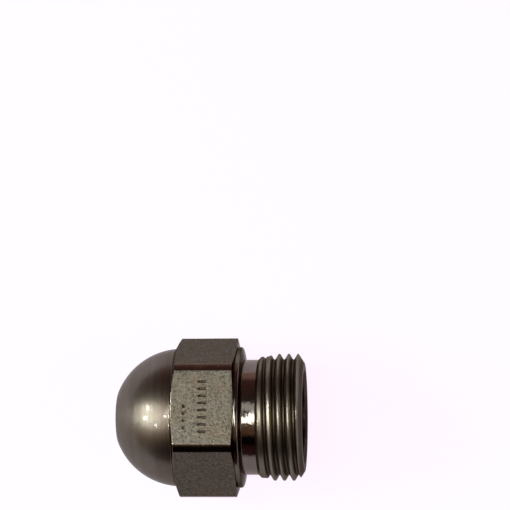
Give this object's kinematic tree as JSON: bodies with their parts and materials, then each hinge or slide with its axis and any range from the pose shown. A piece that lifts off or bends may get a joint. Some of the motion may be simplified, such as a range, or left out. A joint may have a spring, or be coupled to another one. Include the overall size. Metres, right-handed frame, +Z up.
{
  "type": "oil burner nozzle",
  "caption": "Domed pressure-atomising oil nozzle with a wrench hexagon, washer collar, undercut neck and threaded inlet, holding a disc, distributor and lock screw.",
  "frame": {"origin": "on the spray axis, halfway between the tip face and the rear end face", "axes": "+X along the spray axis from the domed tip to the threaded inlet, so oil flows towards -X; +Z up, square to the top wrench flat; the nozzle lies on its bottom wrench flat"},
  "size_m": [0.0208, 0.0178, 0.0158],
  "materials": {
    "body_steel": "darkened stainless steel: turned and polished round surfaces, frosted milled flats",
    "disc_steel": "lapped hard steel",
    "distributor_steel": "fine turned steel",
    "screw_brass": "turned brass"
  },
  "bodies": {
    "nozzle_body": {"nozzle_body": "body_steel"},
    "orifice_disc": {"orifice_disc": "disc_steel"},
    "distributor": {"distributor": "distributor_steel"},
    "lock_screw": {"lock_screw": "screw_brass"}
  },
  "joints": [
    {"name": "orifice_disc_slide", "type": "slide", "parent": "nozzle_body", "child": "orifice_disc", "axis": [1, 0, 0], "range_m": [0, 0.00337]},
    {"name": "distributor_slide", "type": "slide", "parent": "nozzle_body", "child": "distributor", "axis": [1, 0, 0], "range_m": [0, 0.00675]},
    {"name": "lock_screw_turn", "type": "hinge", "parent": "distributor", "child": "lock_screw", "pos_m": [0, 0, 0], "axis": [1, 0, 0], "range_deg": [0, 3060]}
  ],
  "couplings": [
    {"joint": "lock_screw_turn", "follows": "distributor_slide", "rad_per_m": 7915.8},
    {"joint": "orifice_disc_slide", "follows": "distributor_slide", "ratio": 0.5}
  ]
}
